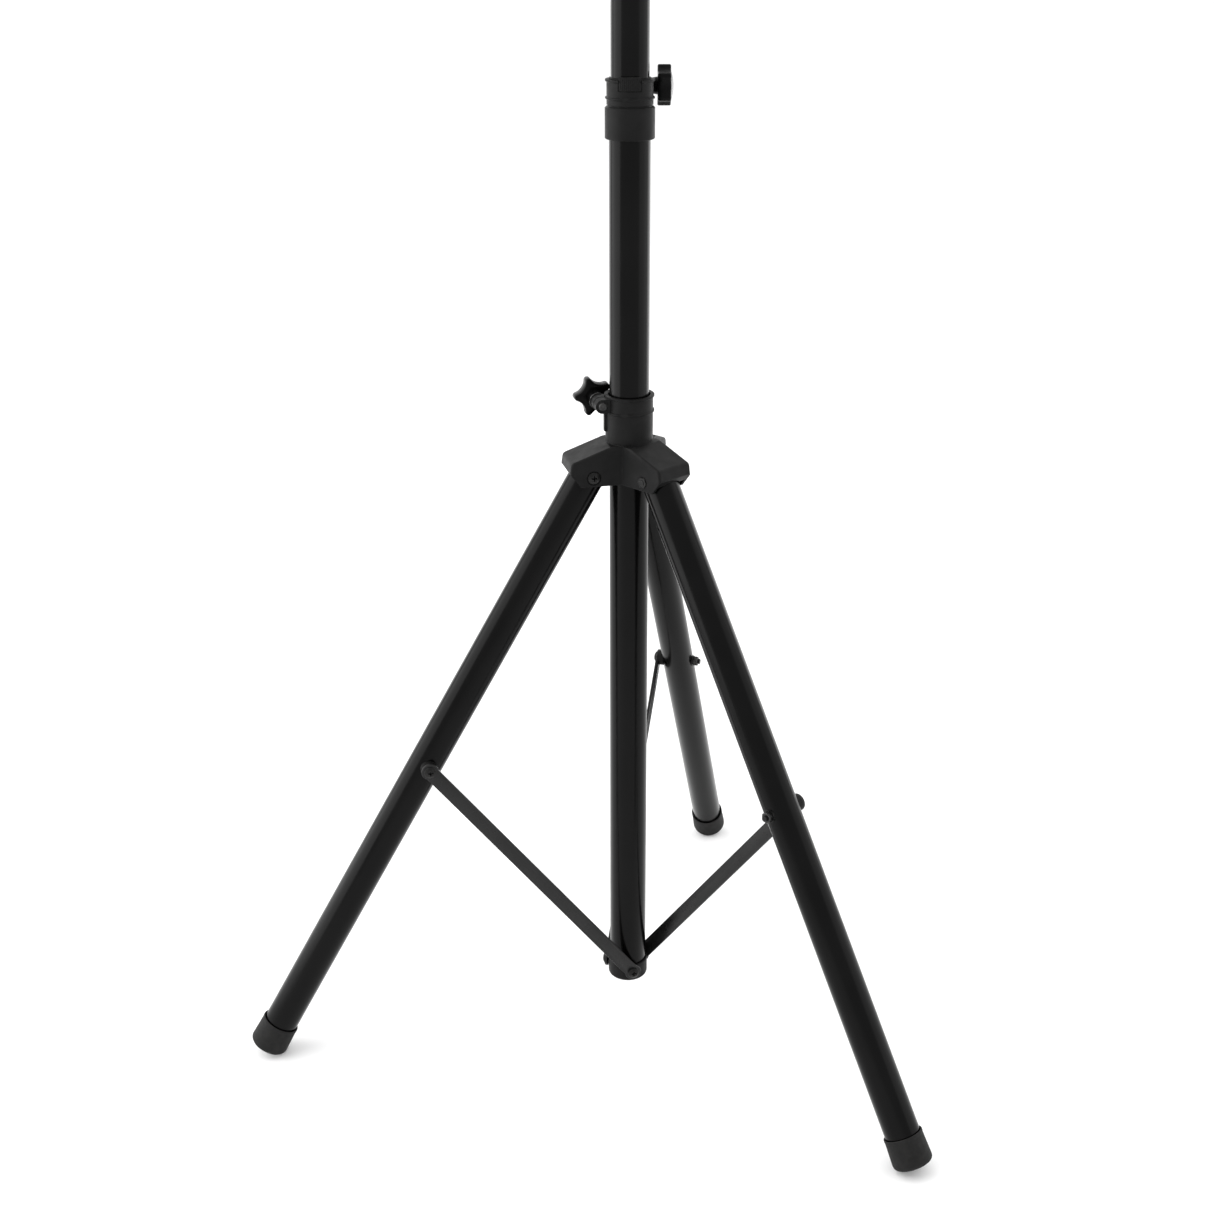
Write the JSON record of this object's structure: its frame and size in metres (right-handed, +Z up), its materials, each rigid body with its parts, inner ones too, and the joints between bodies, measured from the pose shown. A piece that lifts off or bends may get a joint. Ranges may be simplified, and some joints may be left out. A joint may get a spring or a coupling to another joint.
{
  "type": "speaker tripod stand",
  "caption": "Black steel tripod stand for a loudspeaker: folding strap-braced legs under a sliding hub, and a round telescopic pole held by a star-screw clamp.",
  "frame": {"origin": "on the floor, on the axis of the centre tube, with the legs fully open", "axes": "+Z up along the tube, +Y towards the back leg, the other two legs at 210 and 330 degrees from +X"},
  "size_m": [0.7112, 0.6213, 1.2525],
  "materials": {
    "tube_coat": "satin black powder coat on steel tube",
    "hub_plastic": "fine-textured moulded black nylon",
    "knob_plastic": "moulded black plastic",
    "knob_cap": "smooth moulded black cap",
    "nylon": "plain black nylon",
    "rubber": "matte black rubber, finely ribbed",
    "strap_coat": "black powder coat on flat steel",
    "black_steel": "black oxide on steel fasteners",
    "plated_steel": "dull zinc plating"
  },
  "bodies": {
    "column": {"centre_tube": "tube_coat", "bottom_fitting": "hub_plastic", "pole_collar": "hub_plastic", "pole_bush": "nylon", "collar_clamp_nut": "black_steel", "collar_clamp_washer": "plated_steel"},
    "collar_knob": {"collar_star_knob": "knob_plastic", "collar_knob_stud": "plated_steel", "collar_knob_cap": "knob_cap"},
    "pole_slider": {"pole_end_plug": "nylon"},
    "pole": {"upper_pole": "tube_coat", "pole_top_cap": "nylon"},
    "hub": {"hub_crown": "hub_plastic", "hub_bush": "nylon", "hub_clamp_nut": "black_steel", "hub_clamp_washer": "plated_steel", "back_pivot_screw": "black_steel", "back_pivot_nut": "black_steel", "left_pivot_screw": "black_steel", "left_pivot_nut": "black_steel", "right_pivot_screw": "black_steel", "right_pivot_nut": "black_steel"},
    "hub_knob": {"hub_star_knob": "knob_plastic", "hub_knob_stud": "plated_steel", "hub_knob_cap": "knob_cap"},
    "back_leg": {"back_leg_tube": "tube_coat", "back_leg_plug": "nylon", "back_foot": "rubber", "back_saddle": "nylon", "back_strap_bolt": "black_steel", "back_bolt_washer": "black_steel", "back_bolt_nut": "plated_steel"},
    "back_brace": {"back_strap": "strap_coat", "back_strap_screw": "black_steel"},
    "left_leg": {"left_leg_tube": "tube_coat", "left_leg_plug": "nylon", "left_foot": "rubber", "left_saddle": "nylon", "left_strap_bolt": "black_steel", "left_bolt_washer": "black_steel", "left_bolt_nut": "plated_steel"},
    "left_brace": {"left_strap": "strap_coat", "left_strap_screw": "black_steel"},
    "right_leg": {"right_leg_tube": "tube_coat", "right_leg_plug": "nylon", "right_foot": "rubber", "right_saddle": "nylon", "right_strap_bolt": "black_steel", "right_bolt_washer": "black_steel", "right_bolt_nut": "plated_steel"},
    "right_brace": {"right_strap": "strap_coat", "right_strap_screw": "black_steel"}
  },
  "joints": [
    {"name": "hub_slide", "type": "slide", "parent": "column", "child": "hub", "axis": [0, 0, 1], "range_m": [0, 0.11388]},
    {"name": "pole_slide", "type": "slide", "parent": "column", "child": "pole_slider", "axis": [0, 0, 1], "range_m": [-0.12, 0.58]},
    {"name": "pole_turn", "type": "hinge", "parent": "pole_slider", "child": "pole", "pos_m": [0, 0, 0.17], "axis": [0, 0, 1], "continuous": true},
    {"name": "collar_knob_turn", "type": "hinge", "parent": "column", "child": "collar_knob", "pos_m": [-0.00766, 0.02745, 0.9711], "axis": [0.9632, 0.2689, 0], "continuous": true},
    {"name": "hub_knob_turn", "type": "hinge", "parent": "hub", "child": "hub_knob", "pos_m": [-0.02468, -0.01425, 0.68116], "axis": [-0.5, 0.866, 0], "continuous": true},
    {"name": "back_leg_fold", "type": "hinge", "parent": "hub", "child": "back_leg", "pos_m": [0, 0.0399, 0.61416], "axis": [-1, 0, 0], "range_deg": [0, 28.15]},
    {"name": "back_brace_fold", "type": "hinge", "parent": "back_leg", "child": "back_brace", "pos_m": [0, 0.21032, 0.32065], "axis": [-1, 0, 0], "range_deg": [-57.33, 0]},
    {"name": "left_leg_fold", "type": "hinge", "parent": "hub", "child": "left_leg", "pos_m": [-0.03455, -0.01995, 0.61416], "axis": [0.5, -0.866, 0], "range_deg": [0, 28.15]},
    {"name": "left_brace_fold", "type": "hinge", "parent": "left_leg", "child": "left_brace", "pos_m": [-0.18214, -0.10516, 0.32065], "axis": [0.5, -0.866, 0], "range_deg": [-57.33, 0]},
    {"name": "right_leg_fold", "type": "hinge", "parent": "hub", "child": "right_leg", "pos_m": [0.03455, -0.01995, 0.61416], "axis": [0.5, 0.866, 0], "range_deg": [0, 28.15]},
    {"name": "right_brace_fold", "type": "hinge", "parent": "right_leg", "child": "right_brace", "pos_m": [0.18214, -0.10516, 0.32065], "axis": [0.5, 0.866, 0], "range_deg": [-57.33, 0]}
  ],
  "couplings": [
    {"joint": "back_leg_fold", "follows": "hub_slide", "rad_per_m": 4.3126},
    {"joint": "back_brace_fold", "follows": "hub_slide", "rad_per_m": -8.784},
    {"joint": "left_leg_fold", "follows": "hub_slide", "rad_per_m": 4.3126},
    {"joint": "left_brace_fold", "follows": "hub_slide", "rad_per_m": -8.784},
    {"joint": "right_leg_fold", "follows": "hub_slide", "rad_per_m": 4.3126},
    {"joint": "right_brace_fold", "follows": "hub_slide", "rad_per_m": -8.784}
  ]
}
